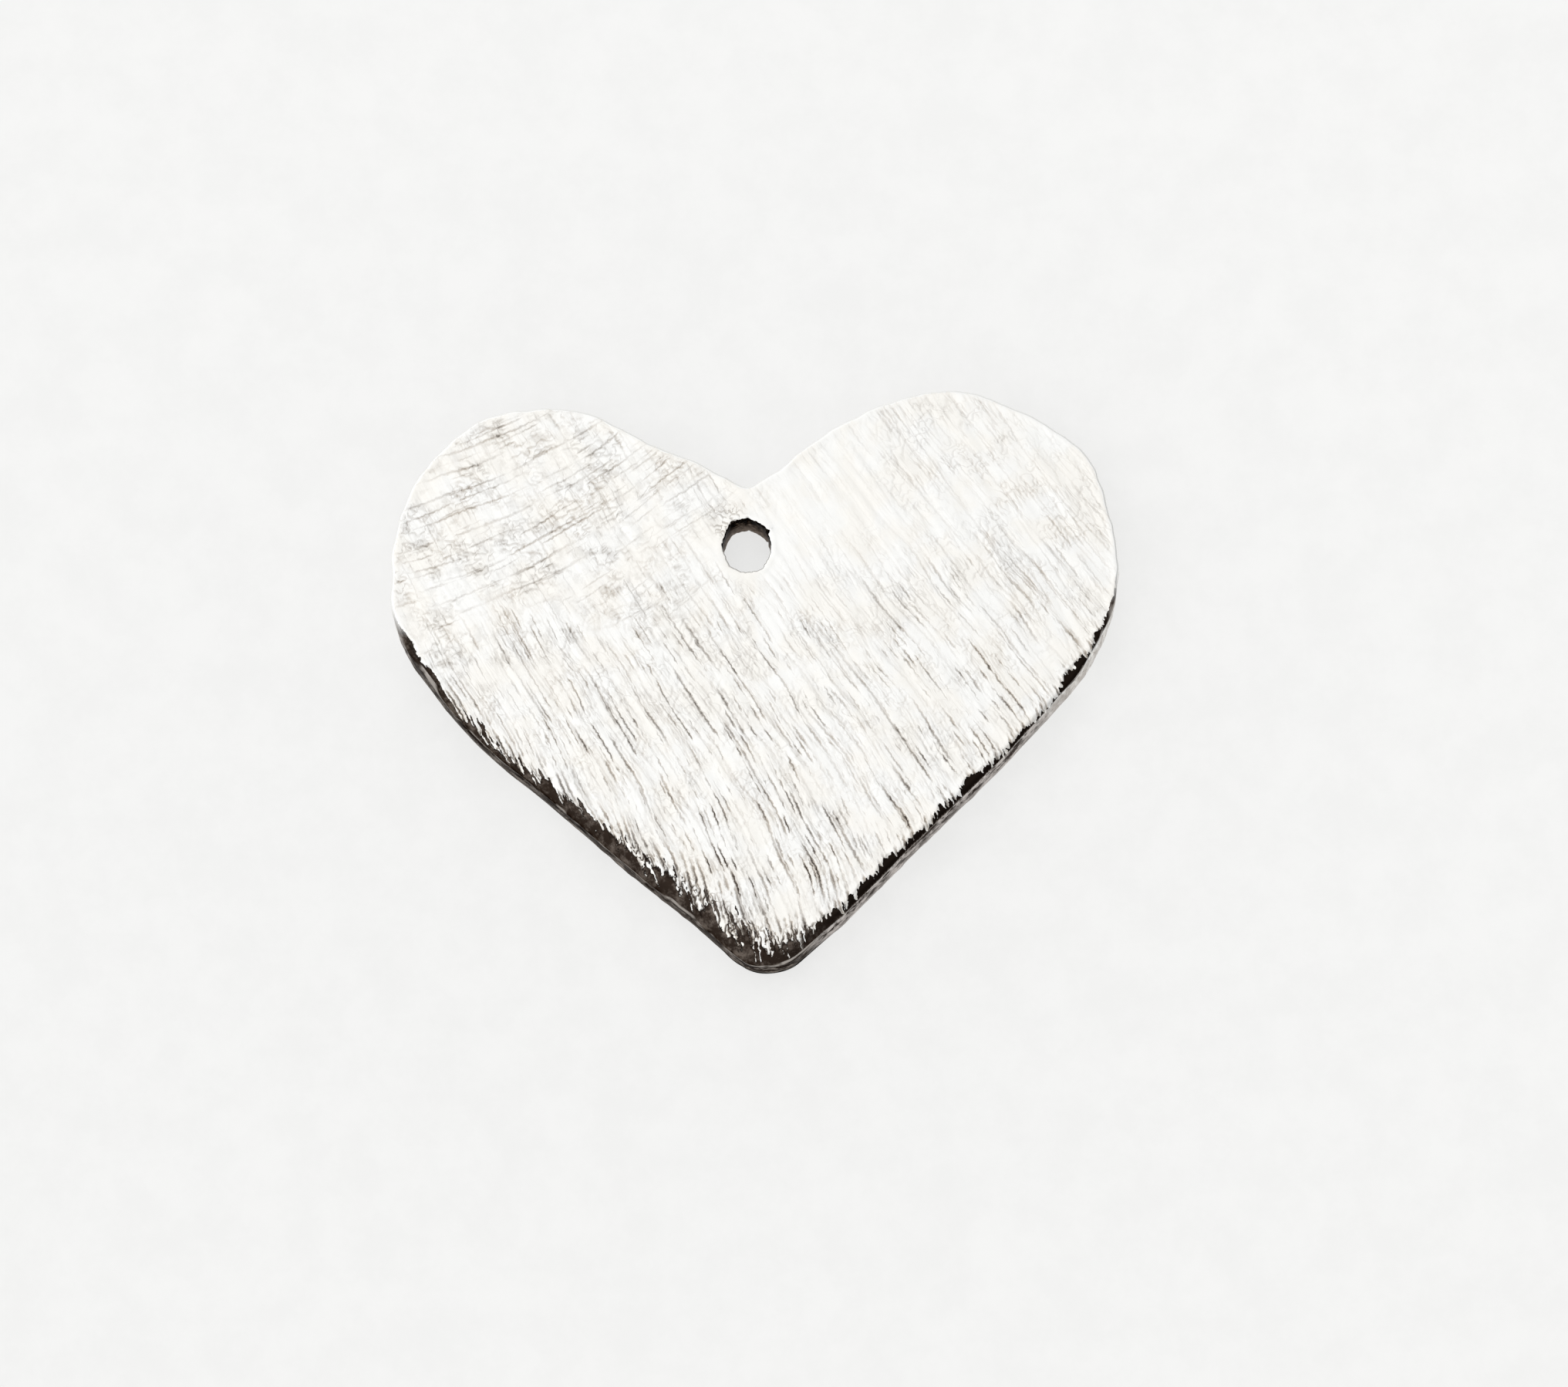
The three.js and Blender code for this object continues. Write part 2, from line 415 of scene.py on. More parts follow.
def front(points):
    """The front's height, how far each point is into the brushed metal (less than 0 is smooth), and
    how torn the metal is there."""
    column, inset = nearest_column(points)
    beyond = np.minimum(inset - reach[column], hole_distance(points))
    zone = flakes[column]
    wide = np.maximum(zone, LEAST_FLAKES)
    has_flakes = zone > HAS_FLAKES

    # The brushed metal ends in teeth and curls, and in patches where the zone is narrow
    brushed = unbent(points)
    teeth = rough(brushed, per_mm=4.0, seed=1.3, direction=-60, stretch=4.0)
    curls = rough(brushed, per_mm=9.5, seed=4.4, direction=-58, stretch=2.4)
    torn_border = BORDER_TEETH * teeth + BORDER_CURLS * curls
    cover = beyond / wide + np.where(has_flakes, torn_border, PLAIN_BORDER_CURLS * curls)
    patches = BORDER_PATCHES * rough(points, per_mm=2.0, seed=6.6)
    cover += patches * smooth(zone, *PATCHES_START) * (1 - smooth(zone, *PATCHES_END))
    cover = np.where(beyond > wide * BORDER_END, FULLY_BRUSHED, np.minimum(cover, FULLY_BRUSHED))

    # The rounding, the flakes' thickness and the strokes
    turn = np.arcsin(np.clip(1 - inset / reach[column], 0, 1))
    height = THICKNESS - drop[column] * (1 - np.cos(turn))
    strokes = sum(
        tall * rough(brushed, per_mm, seed, direction, stretch)
        for tall, per_mm, seed, direction, stretch in STROKE_RELIEF
    )
    below_flakes = FLAKE_DROP * (smooth(cover, *STEP_COVER) - 1) * smooth(beyond, *STEP_START)
    height += np.where(has_flakes, below_flakes, 0)
    height += strokes * smooth(beyond, *STROKES_START) - FACE_SUNK * smooth(beyond, *SUNK_START)
    torn = np.exp(-np.maximum(beyond, 0) / (FLAKES_FADE * wide)) * np.minimum(1, zone / TORN_IN_FULL)
    return height, cover, torn


def add_object(name, data):
    """An object in the scene that shows the data."""
    made = bpy.data.objects.new(name, data)
    bpy.context.scene.collection.objects.link(made)
    return made


class PlateMesh:
    """The plate's points, what the material reads at each of them, and its faces."""

    def __init__(self):
        self.points = []
        self.faces = []
        self.traits = {name: [] for name in TRAITS}

    def add(self, points, heights, cover, dark, torn=0.0, side=NOT_SIDE):
        """Adds points and gives back the number of the first."""
        start = sum(len(added) for added in self.points)
        self.points.append(np.c_[points, np.broadcast_to(heights, len(points))])
        for name, values in zip(TRAITS, (cover, dark, torn, side)):
            self.traits[name].append(np.broadcast_to(values, len(points)))
        return start

    def bands(self, starts, count, flip=False):
        """Joins rings of count points, each to the next."""
        i = np.arange(count)
        j = (i + 1) % count
        for upper, lower in zip(starts, starts[1:]):
            quads = np.c_[upper + i, lower + i, lower + j, upper + j]
            self.faces.extend((quads[:, ::-1] if flip else quads).tolist())

    def fill(self, outer_start, outer_ring, inner_start, inner_ring, free_start, free, up):
        """Joins two rings and the free points between them into a triangulated face."""
        n = len(outer_ring)
        m = len(inner_ring)
        points = np.vstack([outer_ring, inner_ring, free])
        edges = [(i, (i + 1) % n) for i in range(n)] + [(n + i, n + (i + 1) % m) for i in range(m)]
        result = delaunay_2d_cdt([Vector(point) for point in points], edges, [], 0, 1e-7)
        assert len(result[0]) == len(points), "the triangulation made or merged points"
        source = np.r_[
            np.arange(n) + outer_start, np.arange(m) + inner_start, np.arange(len(free)) + free_start
        ]
        original = np.array([numbers[0] for numbers in result[3]])
        triangles = original[np.array(result[2])]
        ring_only = (triangles < n + m).all(1)
        middle = points[triangles[ring_only]].mean(1)
        keep = np.ones(len(triangles), bool)
        keep[ring_only] = inside(middle, outer_ring) & ~inside(middle, inner_ring)
        triangles = source[triangles[keep]]
        self.faces.extend((triangles if up else triangles[:, ::-1]).tolist())

    def make_object(self, name):
        """Makes the mesh, with the traits as its attributes, and an object that shows it."""
        mesh = bpy.data.meshes.new(name)
        mesh.from_pydata((np.vstack(self.points) * MM).tolist(), [], self.faces)
        mesh.shade_smooth()
        for trait, values in self.traits.items():
            layer = mesh.attributes.new(trait, "FLOAT", "POINT")
            layer.data.foreach_set("value", np.concatenate(values).astype(np.float32))
        assert not mesh.validate(verbose=True), "the mesh had faults"
        return add_object(name, mesh)


def add_outer_edge(plate):
    """The rounded front edge, the wall and the eased back edge. Gives back the first and last ring."""
    starts = []
    for turn in np.linspace(shoulder_start, math.pi / 2, SHOULDER_RINGS):
        ring = shoulder_ring(turn)
        height = THICKNESS - drop * (1 - np.cos(turn))
        _, cover, torn = front(ring)
        side = arris - height + climb
        bare = smooth(side, 0.0, BARE_BLEND)
        dark = patina * (1 - bare) + side_patina * bare
        starts.append(plate.add(ring, height, cover - ROUNDING_COVER_LOSS, dark, torn, side))
    for share in np.linspace(0, 1, WALL_RINGS + 1)[1:]:
        height = arris + share * (BACK_ROUNDING - arris)
        marks = sum(
            depth * rough(np.c_[place * along, height * down], 1.0, seed)
            for depth, along, down, seed in WALL_MARKS
        )
        ring = outline + facing * (marks - WALL_SUNK)[:, None]
        starts.append(plate.add(ring, height, NEVER_BRUSHED, side_patina, side=arris - height + climb))
    for turn in np.linspace(0, math.pi / 2, BACK_RINGS + 1)[1:]:
        ring = outline - facing * BACK_ROUNDING * (1 - math.cos(turn))
        height = BACK_ROUNDING * (1 - math.sin(turn))
        starts.append(plate.add(ring, height, NEVER_BRUSHED, side_patina, side=arris - height + climb))
    plate.bands(starts, len(outline))
    return starts[0], starts[-1]


def add_hole_edge(plate):
    """The hole's rims and wall. Gives back the first and last ring."""
    starts = []
    bare_rim = smooth(hole_ring(0)[:, 1], *BARE_RIM_Y)
    for turn in np.linspace(0, math.pi / 2, HOLE_RIM_RINGS):
        ring = hole_ring(HOLE_ROUNDING * (1 - math.sin(turn)), 1 - RIM_SMOOTHING * math.sin(turn))
        height = THICKNESS - HOLE_ROUNDING * (1 - math.cos(turn))
        starts.append(plate.add(ring, height, RIM_COVER - RIM_COVER_LOSS * math.sin(turn) * bare_rim, 1.0))
    for height in np.linspace(THICKNESS - HOLE_ROUNDING, HOLE_ROUNDING, HOLE_WALL_RINGS + 1)[1:]:
        # Ragged towards both faces, and clean from 0.5 to 0.6 mm up
        upper = max(0.0, (height - 0.6) / 0.4)
        lower = max(0.0, (0.5 - height) / 0.5)
        ring = hole_ring(0, (1 - RIM_SMOOTHING) * upper + BACK_RIM_RAGGED * lower)
        starts.append(plate.add(ring, height, NEVER_BRUSHED, 1.0))
    for turn in np.linspace(0, math.pi / 2, HOLE_BACK_RINGS + 1)[1:]:
        ring = hole_ring(HOLE_ROUNDING * (1 - math.cos(turn)), BACK_RIM_RAGGED)
        starts.append(plate.add(ring, HOLE_ROUNDING * (1 - math.sin(turn)), NEVER_BRUSHED, 1.0))
    plate.bands(starts, HOLE_COLUMNS, flip=True)
    return starts[0], starts[-1]


def add_front(plate, outer_start, hole_start):
    """The face, with its points closer together where it has torn flakes."""
    edge_inset = shoulder_inset(shoulder_start)
    zone_end = np.where(flakes > HAS_FLAKES, reach + flakes * FLAKES_FADE + FINE_MARGIN, 0)
    coarse = hex_points(FACE_STEP)
    column, inset = nearest_column(coarse)
    coarse = coarse[(inset > edge_inset[column] + 0.5 * COLUMN_STEP) & (inset > zone_end[column])]
    fine = hex_points(FINE_STEP)
    fine = fine[fine[:, 1] < FINE_BELOW_Y]
    column, inset = nearest_column(fine)
    fine = fine[(inset > edge_inset[column] + 0.5 * FINE_STEP) & (inset < zone_end[column])]
    free = np.vstack([fine, coarse])
    free = free[hole_distance(free) > FACE_HOLE_GAP]
    height, cover, torn = front(free)
    column, _ = nearest_column(free)
    dark = np.where(hole_distance(free) < BARE_ROUND_HOLE, 0.0, patina[column])
    free_start = plate.add(free, height, cover, dark, torn)
    edge = shoulder_ring(shoulder_start)
    rim = hole_ring(HOLE_ROUNDING, 1.0)
    plate.fill(outer_start, edge, hole_start, rim, free_start, free, up=True)


def add_back(plate, outer_start, hole_start):
    """The flat back."""
    free = hex_points(BACK_STEP)
    _, inset = nearest_column(free)
    free = free[(inset > BACK_ROUNDING + BACK_EDGE_GAP) & (hole_distance(free) > BACK_HOLE_GAP)]
    free_start = plate.add(free, 0.0, FULLY_BRUSHED, 0.0)
    edge = outline - facing * BACK_ROUNDING
    rim = hole_ring(HOLE_ROUNDING, BACK_RIM_RAGGED)
    plate.fill(outer_start, edge, hole_start, rim, free_start, free, up=False)


def build_plate():
    """The whole plate as one mesh."""
    plate = PlateMesh()
    outer_front, outer_back = add_outer_edge(plate)
    hole_front, hole_back = add_hole_edge(plate)
    add_front(plate, outer_front, hole_front)
    add_back(plate, outer_back, hole_back)
    return plate.make_object("heart")


class Nodes:
    """A short way to write a node tree."""

    def __init__(self, tree):
        self.tree = tree
        tree.nodes.clear()

    def add(self, kind, inputs=None, **settings):
        node = self.tree.nodes.new("ShaderNode" + kind)
        for name, value in settings.items():
            setattr(node, name, value)
        for name, value in (inputs or {}).items():
            self.give(node.inputs[name], value)
        return node

    def give(self, socket, value):
        """Links a socket to another one, or sets its value."""
        if isinstance(value, bpy.types.NodeSocket):
            self.tree.links.new(value, socket)
        else:
            socket.default_value = value

    def math(self, operation, a, b=0.0):
        return self.add("Math", {0: a, 1: b}, operation=operation).outputs[0]

    def times(self, a, b):
        return self.math("MULTIPLY", a, b)

    def plus(self, a, b):
        return self.math("ADD", a, b)

    def minus(self, a, b):
        return self.math("SUBTRACT", a, b)

    def larger(self, a, b):
        return self.math("MAXIMUM", a, b)

    def smaller(self, a, b):
        return self.math("MINIMUM", a, b)

    def apart(self, a, b):
        return self.math("ABSOLUTE", self.minus(a, b))

    def scaled(self, value, factor, offset):
        inputs = {0: value, 1: factor, 2: offset}
        return self.add("Math", inputs, operation="MULTIPLY_ADD").outputs[0]

    def swing(self, value, amount):
        """A noise's value as a swing about 0, of the given amount over the whole range."""
        return self.times(self.minus(value, 0.5), amount)

    def ramp(self, value, low, high, to_low=0.0, to_high=1.0, smooth=True):
        inputs = {"Value": value, "From Min": low, "From Max": high, "To Min": to_low, "To Max": to_high}
        step = "SMOOTHSTEP" if smooth else "LINEAR"
        return self.add("MapRange", inputs, interpolation_type=step).outputs["Result"]

    def mix(self, share, a, b):
        return self.add("Mix", {0: share, 6: a, 7: b}, data_type="RGBA").outputs[2]

    def mix_value(self, share, a, b):
        return self.add("Mix", {0: share, 2: a, 3: b}, data_type="FLOAT").outputs[0]

    def vector(self, operation, a, b):
        return self.add("VectorMath", {0: a, 1: b}, operation=operation).outputs[0]

    def number(self, operation, a, b=(0.0, 0.0, 0.0)):
        """What a vector operation gives as a number, such as a length."""
        return self.add("VectorMath", {0: a, 1: b}, operation=operation).outputs["Value"]

    def noise(self, vector, per_mm, detail=2.0, rough=0.5, dimensions="2D"):
        inputs = {"Scale": per_mm, "Detail": detail, "Roughness": rough, "Vector": vector}
        return self.add("TexNoise", inputs, noise_dimensions=dimensions).outputs["Fac"]

    def chance(self, value):
        """A random number from 0 to 1 for each whole number: the last digits of a large sine."""
        sine = self.math("SINE", self.times(value, 12.9898))
        return self.math("FRACT", self.times(sine, 43758.5453))

    def turned(self, vector, degrees, stretch):
        """Coordinates turned so that X runs along the strokes, with X shrunk by stretch."""
        inputs = {"Vector": vector, "Angle": math.radians(-degrees)}
        turn = self.add("VectorRotate", inputs, rotation_type="Z_AXIS").outputs[0]
        return self.vector("MULTIPLY", turn, (1 / stretch, 1.0, 1.0))

    def millimetres(self):
        coordinates = self.add("TexCoord").outputs["Object"]
        return self.vector("MULTIPLY", coordinates, (1 / MM, 1 / MM, 1 / MM))


def linear(red, green, blue):
    """A colour given as it shows, 0 to 255, as Blender's linear colour."""
    def channel(c):
        c = c / 255
        return c / 12.92 if c <= 0.04045 else ((c + 0.055) / 1.055) ** 2.4
    return (channel(red), channel(green), channel(blue), 1.0)


# The face's colours: the metal's whites, and the marks' browns and greys, which are painted shade in
# the grooves
FACE_WHITE = linear(254, 254, 252)
FACE_CREAM = linear(253, 251, 246)
STROKE_BROWN = linear(126, 100, 62)
STROKE_GREY = linear(116, 100, 82)
DEEP_STROKE = linear(60, 48, 38)

# The smooth metal's colours: the side of the plate by its painted dark reflection and height, the
# rounded edge with its painted dark reflection, the arris between them with a painted reflection, and
# the hole with its painted shade
BARE_WALL_LOW = linear(212, 207, 202)
BARE_WALL_HIGH = linear(243, 241, 238)
SCRIBBLE = linear(104, 86, 72)
# The side's painted dark reflection, streaked with paler painted reflection, and paler still at its foot as
# a painted reflection of the paper
PALE_WALL_LOW = linear(70, 62, 57)
PALE_WALL_HIGH = linear(212, 206, 202)
PALE_WALL_FOOT_REFLECTION = linear(226, 220, 216)
DARK_WALL_LOW = linear(58, 50, 45)
DARK_WALL_HIGH = linear(150, 142, 135)
DARK_WALL_FOOT_REFLECTION = linear(160, 153, 147)
# Painted shadow at the foot of the tip's side, where it meets the paper
TIP_FOOT_SHADOW = linear(30, 25, 21)
BARE_EDGE = linear(253, 253, 251)
# The rounded edge's painted dark reflection, and black as a painted shadow line beside the brushed metal
BROWN_EDGE_LOW = linear(50, 41, 35)
BROWN_EDGE_HIGH = linear(118, 108, 100)
BLACK_EDGE = linear(28, 22, 18)
# A painted reflection of the paper along the arris
ARRIS_REFLECTION = linear(190, 184, 178)
# Painted shade on the hole's wall, and painted light on its lower side
HOLE_BACK = linear(140, 128, 119)
HOLE_FRONT = linear(24, 18, 14)
HOLE_LOWER_WALL = linear(236, 236, 234)

PAPER_DARK = linear(245, 245, 244)
PAPER_LIGHT = linear(251, 251, 250)
WHITE = linear(255, 255, 255)

# Brush strokes: their direction, rows per mm, length and width, the level of the noise below which
# a row is empty, and a seed
Strokes = namedtuple("Strokes", "degrees per_mm length width empty seed")
MAIN_STROKES = (Strokes(-55, 2.9, 2.5, 0.047, 0.44, 3), Strokes(-55, 5.7, 1.1, 0.034, 0.45, 41))
STEEP_STROKES = (Strokes(-59, 3.3, 1.9, 0.045, 0.45, 87), Strokes(-60, 6.2, 0.95, 0.032, 0.45, 133))
CROSS_STROKES = (Strokes(33, 2.8, 2.6, 0.038, 0.42, 171), Strokes(35, 5.5, 1.4, 0.033, 0.44, 219))
FAINT_STROKES = (Strokes(-53, 2.3, 4.5, 0.042, 0.36, 507), Strokes(-59, 3.1, 3.2, 0.036, 0.39, 551))
TORN_STROKES = Strokes(-60, 8.0, 0.9, 0.050, 0.38, 261)
SLIVERS = (Strokes(-56, 7.0, 0.8, 0.055, 0.42, 311), Strokes(-61, 11.0, 0.5, 0.040, 0.44, 353))
CREVICES = (Strokes(-58, 6.0, 0.9, 0.045, 0.40, 401), Strokes(-62, 9.0, 0.6, 0.035, 0.42, 443))

# Crooked lines: their direction, how drawn out they are along it, how many per mm, their width and
# detail, and a seed
Veins = namedtuple("Veins", "degrees stretch per_mm width detail seed")
FINE_VEINS = Veins(-57, 4.0, 4.0, 0.045, 2.0, 0.0)
CURLS = Veins(-58, 1.2, 4.6, 0.050, 1.0, 9.0)
LEFT_CURLS = Veins(35, 1.7, 5.4, 0.050, 1.0, 15.0)
BURR_VEINS = Veins(20, 1.0, 6.0, 0.050, 1.0, 33.0)
FLAKE_OUTLINES = Veins(-60, 2.0, 5.0, 0.036, 2.0, 21.0)

# Each row of strokes has its own place in the noise, and is shifted along by up to this many lengths
ROW_APART = 3.7
ROW_SHIFT = 50.0

# A stroke keeps clear of its row's borders, is thinnest at its ends, and fades in over this much noise
ROW_BORDER = 0.15
THINNEST = 0.4
STROKE_FADE = 0.2

# Veins measure the noise's slope over this step, and no slope less than this counts
VEIN_STEP = 0.03
LEAST_SLOPE = 0.012

# The border of the left lobe's brushing: level, but falling to the left of a bend
BORDER_Y = 2.1
BORDER_SLOPE = 0.45
BORDER_BEND_X = -3.4
BORDER_WANDER = 4.0

# Each of these is where a change starts and where it is complete. LEFT and MOTTLED are the left
# lobe's own brushing and the mottled part of the face, by the height above the border and by X.
LEFT_ABOVE = (-0.9, 0.9)
LEFT_X = (0.2, -1.6)
MOTTLED_ABOVE = (-2.6, 0.2)
MOTTLED_X = (0.5, -2.5)
DARKER_STROKES_Y = (2.0, -4.5)
RIGHT_STROKES_X = (0.0, 3.5)
PALE_LOBE_X = (0.8, 3.5)
PALE_LOBE_Y = (0.5, 3.8)
# Where the painted shadow at the tip's foot comes in
TIP_FOOT_Y = (-5.0, -5.5)
TIP_FOOT_Z = (0.22, 0.10)
SCRIBBLE_Y = (2.4, 0.6)
# Where the walls' feet turn paler, as a painted reflection of the paper
PALE_FOOT_Z = (0.50, 0.0)
DARK_FOOT_Z = (0.45, 0.0)
# The levels of painted dark reflection over which the side turns pale, then dark, and the edge black
PALE_WALL_REFLECTION_RANGE = (0.20, 0.42)
DARK_WALL_REFLECTION_RANGE = (0.5, 0.8)
BLACK_EDGE_REFLECTION_RANGE = (1.0, 2.0)

# How far the strokes wander and shiver sideways, over the whole range of the noise
WANDER = 0.14
SHIVER = 0.070

# How deep each kind of mark is, where 1 is the deepest; the depth also darkens the colour as painted
# shade in the grooves
STROKE_DEPTH = 0.52
STROKE_DEPTH_AT_TIP = 0.36  # added towards the tip
FAINT_DEPTH = 0.17
FINE_DEPTH = 0.11
CURL_DEPTH = 0.13
CURL_DEPTH_ON_MOTTLED = 0.09  # added there
PATCH_DEPTH = 0.14
BURR_DEPTH = 0.55
SHALLOW_CRACK = 0.55  # where the metal is least torn

# What is left of the marks, or lost of them, in some parts of the face
MAIN_ON_LEFT = 0.30
STEEP_ON_RIGHT = 0.15
CROSS_ON_LEFT = 0.76
LOSS_ON_MOTTLED = 0.20
LOSS_ON_LEFT = 0.45
LOSS_ON_PALE_LOBE = 0.70
FINE_LOSS_ON_LEFT = 0.5
LEFT_BY_HOLE = 0.1
LEFT_BY_EDGE = 0.45
LEFT_IN_GLARE = 0.3
CALM_TO_BUSY = (0.6, 1.15)

# How much slivers add to the cover and crevices take off, and where the colours of smooth and
# brushed metal blend
SLIVER_COVER = 0.75
CREVICE_COVER = 1.1
COVER_BLEND = (-0.08, 0.08)

# The line along which a pale reflection of the paper is painted on the arris
ARRIS_REFLECTION_SIDE = 0.02
ARRIS_REFLECTION_WIDTHS = (0.02, 0.07)
ARRIS_REFLECTION_WAVE = 0.5
ARRIS_REFLECTION_SHARE = 0.8

# The metal's gloss and relief
SMOOTH_ROUGHNESS = 0.38
BRUSHED_ROUGHNESS = 0.42
TINT_WHITENING = 0.3
MARK_RELIEF = 0.02
MARK_STRENGTH = 0.5

# Two places beside the hole: a burr, and the glare by the cleft in which the strokes fade
BURR_PLACE = (HOLE_X - 0.35, HOLE_Y + 0.55, 0)
GLARE_PLACE = (1.5, 3.7, 0)


class Metal(Nodes):
    """The metal's node tree, with the places and mesh traits that its parts share."""

    def __init__(self, tree):
        super().__init__(tree)
        self.mm = self.millimetres()
        self.x, self.y, self.z = self.add("SeparateXYZ", {0: self.mm}).outputs
        self.cover, self.patina, self.torn, self.side = [self.trait(name) for name in TRAITS]

        # Coordinates in which the bent brush strokes run straight, and the strokes' small wander
        low = self.smaller(self.y, 0.0)
        left = self.smaller(self.minus(self.x, LEFT_BEND_START), 0.0)
        brushed_x = self.scaled(self.times(low, low), BEND_DOWN, self.x)
        brushed_y = self.scaled(self.times(left, left), -BEND_LEFT, self.y)
        self.brushed = self.add("CombineXYZ", {0: brushed_x, 1: brushed_y}).outputs[0]
        wander = self.swing(self.noise(self.mm, per_mm=0.9, detail=0.0), WANDER)
        shiver = self.swing(self.noise(self.mm, per_mm=8.5, detail=2.0, rough=0.7), SHIVER)
        self.sway = self.plus(wander, shiver)

    def trait(self, name):
        return self.add("Attribute", attribute_name=name).outputs["Fac"]

    def gap(self, place):
        """The distance from a place, as seen from above."""
        flat = self.vector("MULTIPLY", self.mm, (1.0, 1.0, 0.0))
        return self.number("DISTANCE", flat, place)

    def strokes(self, kind):
        """Thin lines in rows along one direction, each with its own ends, place and darkness."""
        turn = math.radians(kind.degrees)
        along = self.number("DOT_PRODUCT", self.brushed, (math.cos(turn), math.sin(turn), 0))
        across = self.number("DOT_PRODUCT", self.brushed, (-math.sin(turn), math.cos(turn), 0))
        rows = self.times(self.plus(across, self.sway), kind.per_mm)
        row = self.math("FLOOR", rows)
        middle = self.scaled(self.chance(self.plus(row, kind.seed)), 1 - 2 * ROW_BORDER, ROW_BORDER)
        off = self.apart(self.minus(rows, row), middle)
        off = self.math("DIVIDE", off, kind.per_mm)
        shift = self.times(self.chance(self.plus(row, kind.seed + 0.5)), ROW_SHIFT)
        shifted = self.plus(self.math("DIVIDE", along, kind.length), shift)
        spot = self.add("CombineXYZ", {0: shifted, 1: self.times(row, ROW_APART)})
        present = self.noise(spot.outputs[0], per_mm=1.0, detail=3.0, rough=0.65)
        strength = self.ramp(present, kind.empty, kind.empty + STROKE_FADE)
        width = self.scaled(strength, kind.width * (1 - THINNEST), kind.width * THINNEST)
        return self.times(self.ramp(off, 0.0, width, 1.0, 0.0), strength)

    def both_strokes(self, kinds):
        """Two kinds of strokes together."""
        return self.larger(self.strokes(kinds[0]), self.strokes(kinds[1]))

    def veins(self, kind):
        """Thin crooked lines, where a random surface passes its middle level."""
        shifted = self.vector("ADD", self.brushed, (kind.seed, kind.seed * 1.7, 0))
        spot = self.turned(shifted, kind.degrees, kind.stretch)
        beside = self.vector("ADD", spot, (VEIN_STEP * 0.6, VEIN_STEP * 0.8, 0))
        level = self.noise(spot, kind.per_mm, kind.detail, rough=0.6)
        level_beside = self.noise(beside, kind.per_mm, kind.detail, rough=0.6)
        slope = self.apart(level_beside, level)
        off = self.apart(level, 0.5)
        off = self.math("DIVIDE", off, self.larger(slope, LEAST_SLOPE))
        return self.ramp(off, 0.0, kind.width / VEIN_STEP, 1.0, 0.0)

    def brushing_zones(self):
        """Three shares: the left lobe's own brushing, the mottled part of the face, and how much of
        the straight strokes shows."""
        drift = self.noise(self.mm, per_mm=0.45)
        border = self.scaled(self.x, BORDER_SLOPE, BORDER_Y - BORDER_SLOPE * BORDER_BEND_X)
        border = self.smaller(border, BORDER_Y)
        above = self.minus(self.y, border)
        above = self.plus(above, self.swing(drift, BORDER_WANDER))
        on_left = self.times(self.ramp(above, *LEFT_ABOVE), self.ramp(self.x, *LEFT_X))
        mottled = self.times(self.ramp(above, *MOTTLED_ABOVE), self.ramp(self.x, *MOTTLED_X))
        straight = self.minus(self.scaled(mottled, -LOSS_ON_MOTTLED, 1.0), self.times(on_left, LOSS_ON_LEFT))
        return on_left, mottled, straight

    def long_strokes(self, on_left, straight):
        """The depth of the strokes that run one way on the left lobe and another way elsewhere."""
        lower = self.ramp(self.y, *DARKER_STROKES_Y)
        right = self.ramp(self.x, *RIGHT_STROKES_X)
        main = self.both_strokes(MAIN_STROKES)
        steep = self.both_strokes(STEEP_STROKES)
        cross = self.both_strokes(CROSS_STROKES)
        main = self.times(main, self.ramp(right, 0.0, 1.0, to_low=MAIN_ON_LEFT))
        steep = self.times(steep, self.ramp(right, 0.0, 1.0, to_low=1.0, to_high=STEEP_ON_RIGHT))
        lines = self.times(self.larger(main, steep), straight)
        lines = self.larger(lines, self.times(cross, self.scaled(on_left, CROSS_ON_LEFT, 0.0)))
        pale_lobe = self.times(self.ramp(self.x, *PALE_LOBE_X), self.ramp(self.y, *PALE_LOBE_Y))
        lines = self.times(lines, self.scaled(pale_lobe, -LOSS_ON_PALE_LOBE, 1.0))
        depth = self.times(lines, self.scaled(lower, STROKE_DEPTH_AT_TIP, STROKE_DEPTH))
        faint = self.times(self.both_strokes(FAINT_STROKES), straight)
        return self.larger(depth, self.times(faint, FAINT_DEPTH))

    def fine_marks(self, depth, on_left, mottled):
        """Adds fine crooked lines, curls and faint patches to the depth of the strokes."""
        here = self.noise(self.turned(self.mm, -60, 2.0), per_mm=2.6)
        here = self.ramp(here, 0.38, 0.60, to_low=0.1, to_high=1.1)
        here = self.times(here, self.scaled(on_left, -FINE_LOSS_ON_LEFT, 1.0))
        fine = self.times(self.veins(FINE_VEINS), here)
        curls = self.mix_value(on_left, self.veins(CURLS), self.veins(LEFT_CURLS))
        curls = self.times(curls, self.ramp(self.noise(self.mm, per_mm=1.5), 0.40, 0.60, to_low=0.1))
        patches = self.ramp(self.noise(self.mm, per_mm=3.6, detail=3.0, rough=0.6), 0.50, 0.68)
        patches = self.times(patches, self.scaled(mottled, 0.95, 0.22))
        depth = self.plus(depth, self.times(fine, FINE_DEPTH))
        curl_depth = self.scaled(mottled, CURL_DEPTH_ON_MOTTLED, CURL_DEPTH)
        depth = self.plus(depth, self.times(curls, curl_depth))
        return self.plus(depth, self.times(patches, PATCH_DEPTH))

